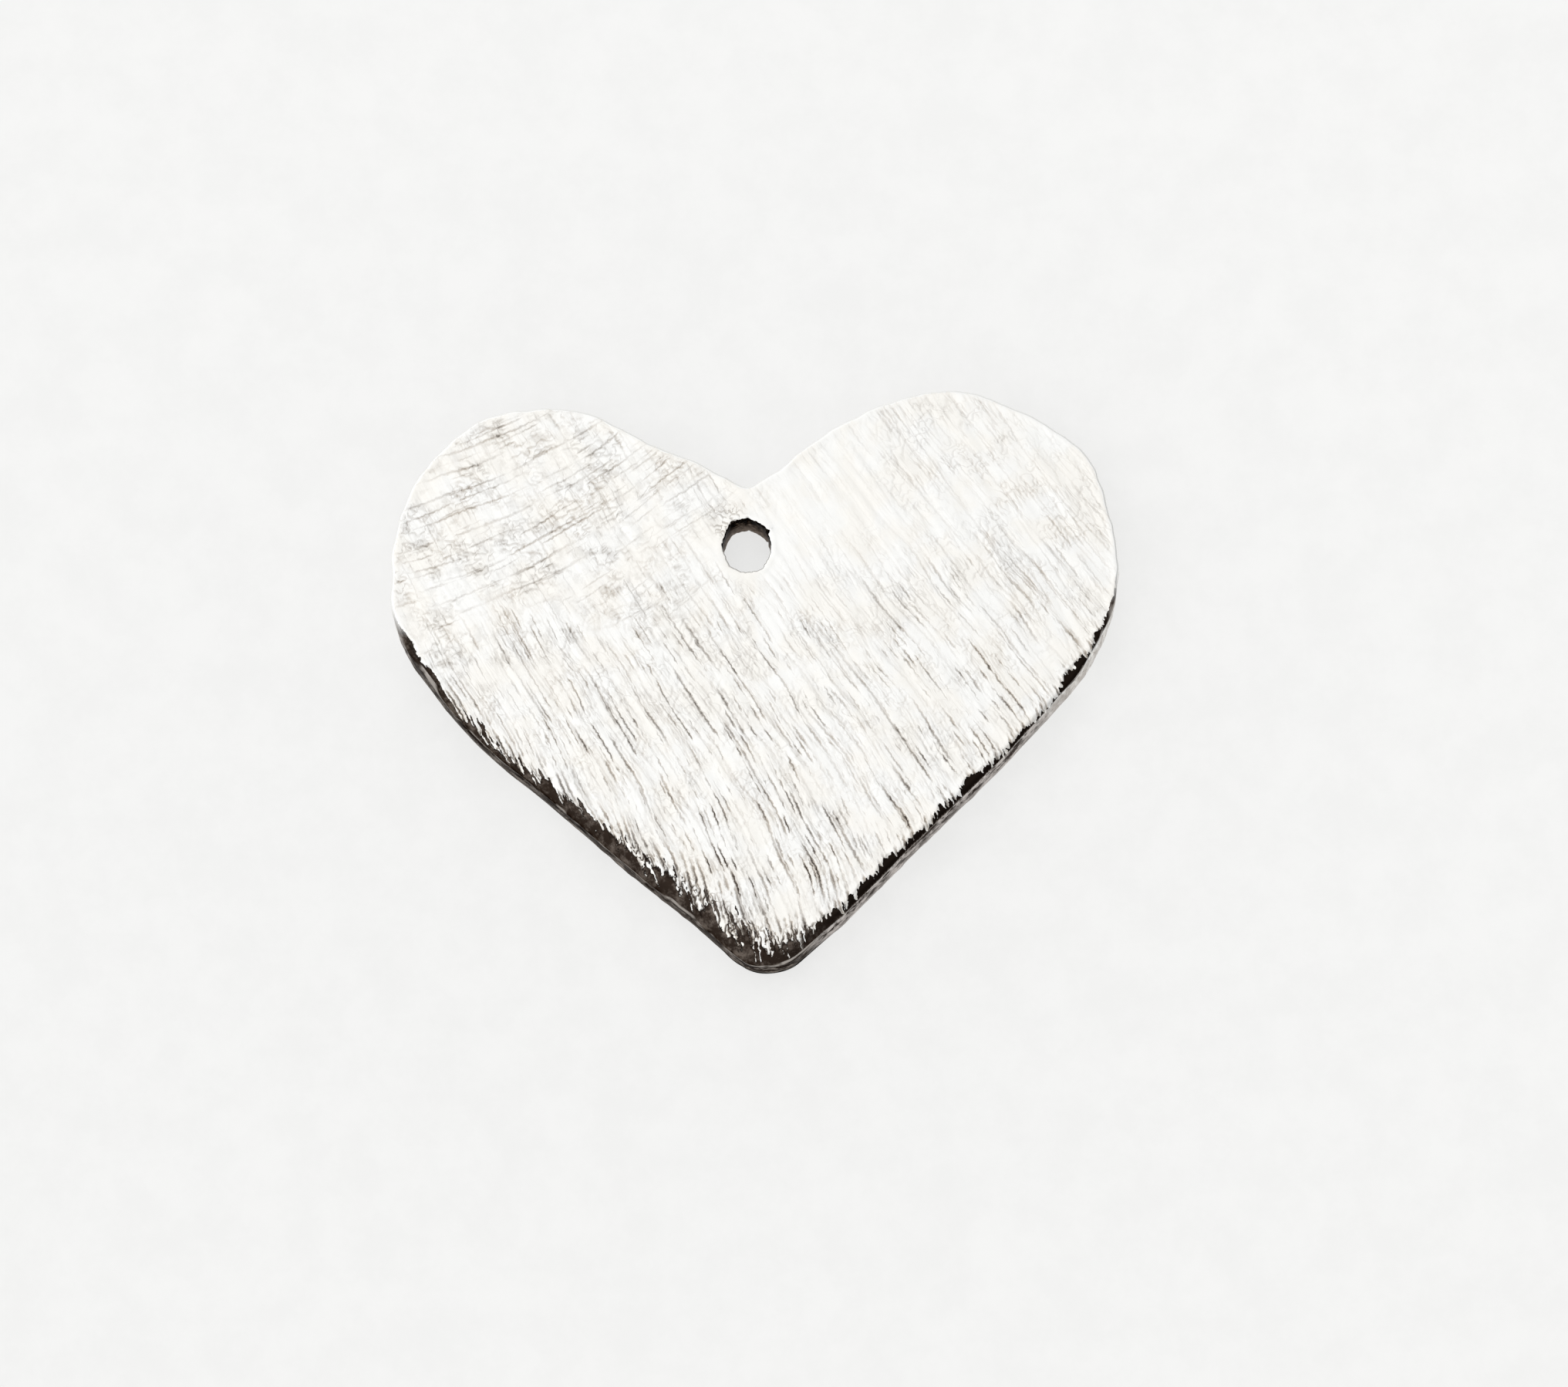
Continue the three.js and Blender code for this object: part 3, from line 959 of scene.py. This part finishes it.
    def thinned(self, depth):
        """Weakens the marks round the hole, near the edge, in calm places and in the glare by the
        cleft, and adds the burr."""
        near_hole = self.ramp(self.gap(HOLE_PLACE), 0.6, 0.95, to_low=LEFT_BY_HOLE)
        near_edge = self.ramp(self.cover, 0.9, 2.0, to_low=LEFT_BY_EDGE)
        depth = self.times(depth, self.times(near_hole, near_edge))
        busy = self.ramp(self.noise(self.mm, per_mm=0.75), 0.36, 0.62)
        depth = self.times(depth, self.ramp(busy, 0.0, 1.0, *CALM_TO_BUSY))
        at_burr = self.ramp(self.gap(BURR_PLACE), 0.20, 0.50, to_low=BURR_DEPTH, to_high=0.0)
        depth = self.larger(depth, self.times(self.veins(BURR_VEINS), at_burr))
        glare = self.ramp(self.gap(GLARE_PLACE), 0.6, 2.6, to_low=LEFT_IN_GLARE)
        return self.times(depth, glare)

    def cracks(self):
        """Cracks between the torn flakes, painted dark as shade in them."""
        outlines = self.times(self.veins(FLAKE_OUTLINES), self.ramp(self.torn, 0.35, 0.9))
        straight = self.times(self.strokes(TORN_STROKES), self.ramp(self.torn, 0.06, 0.4))
        darkness = self.ramp(self.torn, 0.05, 0.8, to_low=SHALLOW_CRACK)
        return self.times(self.larger(outlines, straight), darkness)

    def stroke_depth(self):
        """How deep and dark the face's marks are, from 0 on untouched metal; the darkness is painted shade
        in the grooves.
        """
        on_left, mottled, straight = self.brushing_zones()
        depth = self.long_strokes(on_left, straight)
        depth = self.fine_marks(depth, on_left, mottled)
        return self.larger(self.thinned(depth), self.cracks())

    def face_colour(self, depth):
        tint = self.mix(self.ramp(self.noise(self.mm, per_mm=0.9), 0.4, 0.6), STROKE_BROWN, STROKE_GREY)
        cream = self.ramp(self.noise(self.mm, per_mm=1.1, detail=3.0), 0.35, 0.65)
        base = self.mix(cream, FACE_WHITE, FACE_CREAM)
        # The marks darken the metal, the deepest most: painted shade in the grooves
        tint = self.mix(self.ramp(depth, 0.5, 0.95), tint, DEEP_STROKE)
        return self.mix(depth, base, tint)

    def ragged_cover(self):
        """The mesh's cover with a finely torn border."""
        nibble = self.noise(self.turned(self.brushed, -58, 3.0), per_mm=11.0, detail=3.0, rough=0.6)
        nibble = self.minus(nibble, 0.5)
        slivers = self.both_strokes(SLIVERS)
        crevices = self.times(self.both_strokes(CREVICES), self.ramp(self.torn, 0.1, 0.8))
        cover = self.plus(self.cover, nibble)
        cover = self.plus(cover, self.times(slivers, SLIVER_COVER))
        return self.minus(cover, self.times(crevices, CREVICE_COVER))

    def wall_colour(self, grain):
        """The side of the plate: satin with scribbles where it is bare, and elsewhere a painted dark
        reflection with streaks, painted paler at its foot as a reflection of the paper, and a painted shadow
        at the tip's foot.
        """
        streak = self.vector("MULTIPLY", self.mm, (1.5, 1.5, 2.2))
        streak = self.noise(streak, per_mm=1.5, detail=3.0, rough=0.7, dimensions="3D")
        streak = self.plus(streak, self.swing(grain, 0.45))
        # Painted dark reflection, streaked with paler painted reflection
        pale = self.mix(self.ramp(streak, 0.40, 0.60), PALE_WALL_LOW, PALE_WALL_HIGH)
        # Paler towards the foot: a painted reflection of the paper
        pale = self.mix(self.ramp(self.z, *PALE_FOOT_Z, to_high=0.70), pale, PALE_WALL_FOOT_REFLECTION)
        scribble = self.apart(self.noise(self.mm, per_mm=5.5, dimensions="3D"), 0.5)
        scribble = self.ramp(scribble, 0.0, 0.030, to_low=0.45, to_high=0.0)
        scribble = self.times(scribble, self.ramp(self.y, *SCRIBBLE_Y))
        drag = self.vector("MULTIPLY", self.mm, (1.0, 1.0, 0.14))
        drag = self.noise(drag, per_mm=7.0, detail=3.0, rough=0.7, dimensions="3D")
        bare = self.mix(self.ramp(drag, 0.36, 0.62), BARE_WALL_LOW, BARE_WALL_HIGH)
        bare = self.mix(scribble, bare, SCRIBBLE)
        pale = self.mix(self.ramp(self.patina, *PALE_WALL_REFLECTION_RANGE), bare, pale)
        # The darker side: painted dark reflection, streaked, and paler at the foot as a painted reflection
        # of the paper
        dark = self.mix(self.ramp(streak, 0.48, 0.66), DARK_WALL_LOW, DARK_WALL_HIGH)
        dark = self.mix(self.ramp(self.z, *DARK_FOOT_Z, to_high=0.45), dark, DARK_WALL_FOOT_REFLECTION)
        wall = self.mix(self.ramp(self.patina, *DARK_WALL_REFLECTION_RANGE), pale, dark)
        # Painted shadow at the tip's foot
        foot = self.times(self.ramp(self.z, *TIP_FOOT_Z), self.ramp(self.y, *TIP_FOOT_Y))
        return self.mix(foot, wall, TIP_FOOT_SHADOW)

    def rounded_colour(self, grain, cover):
        """The rounded front edge: bare, or brown to black as a painted dark reflection, and blackest beside
        the brushed metal as a painted shadow line.
        """
        edge_mottling = self.noise(self.mm, per_mm=2.2, detail=4.0, rough=0.65, dimensions="3D")
        edge_mottling = self.plus(edge_mottling, self.swing(grain, 0.5))
        dark = self.mix(self.ramp(edge_mottling, 0.42, 0.74), BROWN_EDGE_LOW, BROWN_EDGE_HIGH)
        # Black as a painted shadow line beside the brushed metal, and where the painted dark reflection is
        # deepest
        painted_black = self.larger(self.ramp(cover, -0.30, -0.06), self.ramp(self.patina, *BLACK_EDGE_REFLECTION_RANGE))
        dark = self.mix(painted_black, dark, BLACK_EDGE)
        return self.mix(self.patina, BARE_EDGE, dark)

    def arris_reflection_line(self):
        """Where the arris has a painted pale reflection of the paper, along a line that wanders up and down
        a little.
        """
        reflection_breaks = self.vector("MULTIPLY", self.mm, (0.8, 0.8, 0.0))
        reflection_breaks = self.noise(reflection_breaks, per_mm=1.2, detail=3.0, rough=0.6)
        wave = self.swing(self.noise(self.mm, per_mm=0.9), ARRIS_REFLECTION_WAVE)
        off = self.apart(self.plus(self.side, wave), ARRIS_REFLECTION_SIDE)
        line = self.ramp(off, *ARRIS_REFLECTION_WIDTHS, to_low=1.0, to_high=0.0)
        line = self.times(line, self.ramp(reflection_breaks, 0.42, 0.55))
        return self.times(line, self.ramp(self.patina, 0.3, 1.0))

    def hole_colour(self, grain):
        """The hole's wall with painted shade: darker towards the front, and painted light on its lower side.
        """
        depth = self.plus(self.z, self.swing(grain, 2.0))
        colour = self.mix(self.ramp(depth, -0.2, 1.0), HOLE_BACK, HOLE_FRONT)
        # Painted light on the hole's lower side
        return self.mix(self.ramp(self.y, HOLE_Y + 0.02, HOLE_Y - 0.10), colour, HOLE_LOWER_WALL)

    def smooth_colour(self, cover):
        """The metal that the brushing didn't reach."""
        grain = self.noise(self.mm, per_mm=11.0, detail=3.0, rough=0.7, dimensions="3D")
        wall = self.wall_colour(grain)
        rounded = self.rounded_colour(grain, cover)
        on_wall = self.ramp(self.side, 0.03, 0.10)
        arris_share = self.times(self.arris_reflection_line(), ARRIS_REFLECTION_SHARE)
        in_hole = self.ramp(self.gap(HOLE_PLACE), 0.80, 0.75)
        hole = self.hole_colour(grain)
        edge = self.mix(arris_share, self.mix(on_wall, rounded, wall), ARRIS_REFLECTION)
        return self.mix(in_hole, edge, hole)


def metal_material():
    material = bpy.data.materials.new("brushed_metal")
    material.use_nodes = True
    n = Metal(material.node_tree)
    depth = n.stroke_depth()
    face = n.face_colour(depth)
    cover = n.ragged_cover()
    sanded = n.ramp(cover, *COVER_BLEND)
    colour = n.mix(sanded, n.smooth_colour(cover), face)
    marks = {"Height": n.times(depth, sanded), "Strength": MARK_STRENGTH, "Distance": MARK_RELIEF * MM}
    bump = n.add("Bump", marks, invert=True)
    shader = n.add("BsdfPrincipled", {
        "Base Color": colour,
        "Metallic": 1.0,
        "Roughness": n.ramp(sanded, 0.0, 1.0, SMOOTH_ROUGHNESS, BRUSHED_ROUGHNESS),
        "Normal": bump.outputs[0],
        "Specular Tint": n.mix(TINT_WHITENING, colour, WHITE),
    })
    n.add("OutputMaterial", {"Surface": shader.outputs[0]})
    return material


def paper_material():
    """Pale paper, partly shown at its own brightness so that it stays as white as photographed."""
    material = bpy.data.materials.new("paper")
    material.use_nodes = True
    n = Nodes(material.node_tree)
    mm = n.millimetres()
    mottle = n.ramp(n.noise(mm, per_mm=0.8, detail=4.0, rough=0.7), 0.25, 0.75)
    # Lighter towards the top: painted light
    far = n.ramp(n.number("DOT_PRODUCT", mm, (0.2, 1.0, 0.0)), *FAR_PLACES, smooth=False)
    # Darker near the charm: painted shadow
    near = n.ramp(n.number("LENGTH", mm), *CHARM_SHADOW_REACH, to_low=CHARM_SHADOW, to_high=0.0)
    shade = n.plus(n.times(mottle, MOTTLED_SHADE), n.scaled(far, FAR_SHADE, PAPER_SHADE))
    colour = n.mix(n.minus(shade, near), PAPER_DARK, PAPER_LIGHT)
    matte = n.add("BsdfPrincipled", {"Base Color": colour, "Roughness": PAPER_ROUGHNESS})
    glow = n.add("Emission", {"Color": colour, "Strength": 1.0})
    path = n.add("LightPath")
    seen = n.larger(path.outputs["Is Camera Ray"], path.outputs["Is Glossy Ray"])
    seen = n.larger(seen, path.outputs["Is Transmission Ray"])
    shares = {0: n.times(seen, PAPER_GLOW), 1: matte.outputs[0], 2: glow.outputs[0]}
    shader = n.add("MixShader", shares)
    n.add("OutputMaterial", {"Surface": shader.outputs[0]})
    return material


def make_floor():
    mesh = bpy.data.meshes.new("floor")
    corners = [(x * FLOOR_HALF, y * FLOOR_HALF, 0) for x, y in ((-1, -1), (1, -1), (1, 1), (-1, 1))]
    mesh.from_pydata(corners, [], [(0, 1, 2, 3)])
    floor = add_object("floor", mesh)
    floor.data.materials.append(paper_material())


def make_world():
    """Soft light all round, a little brighter overhead."""
    world = bpy.data.worlds.new("studio")
    bpy.context.scene.world = world
    world.use_nodes = True
    n = Nodes(world.node_tree)
    direction = n.add("TexCoord").outputs["Generated"]
    towards = n.number("DOT_PRODUCT", direction, Vector(OVERHEAD).normalized())
    strength = n.ramp(towards, *LIGHT_ANGLES, *LIGHT_STRENGTHS)
    from_left = n.number("DOT_PRODUCT", direction, (-LIGHT_FROM_LEFT, 0.0, 0.0))
    strength = n.plus(strength, n.smaller(from_left, MOST_FROM_LEFT))
    background = n.add("Background", {"Color": WHITE, "Strength": strength})
    n.add("OutputWorld", {"Surface": background.outputs[0]})


def make_camera():
    data = bpy.data.cameras.new("camera")
    data.sensor_width = SENSOR_WIDTH
    data.lens = SENSOR_WIDTH * CAMERA_DISTANCE / FRAME_WIDTH
    data.clip_start = NEAREST_SEEN
    data.clip_end = FURTHEST_SEEN
    camera = add_object("camera", data)
    ahead = Vector((0, math.cos(CAMERA_ELEVATION), -math.sin(CAMERA_ELEVATION)))
    level = Vector((1, 0, 0))
    up = level.cross(ahead)
    right = level * math.cos(CAMERA_ROLL) - up * math.sin(CAMERA_ROLL)
    upward = level * math.sin(CAMERA_ROLL) + up * math.cos(CAMERA_ROLL)
    aim = Vector((0, 0, THICKNESS / 2)) + right * AIM_RIGHT - upward * AIM_DOWN
    turn = Matrix((right, upward, -ahead)).transposed()
    camera.matrix_world = Matrix.Translation((aim - ahead * CAMERA_DISTANCE) * MM) @ turn.to_4x4()
    bpy.context.scene.camera = camera


heart = build_plate()
heart.data.materials.append(metal_material())
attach(heart, "root")
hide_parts(PLATE)
make_floor()
make_world()
make_camera()
bpy.context.scene.view_settings.view_transform = "Standard"
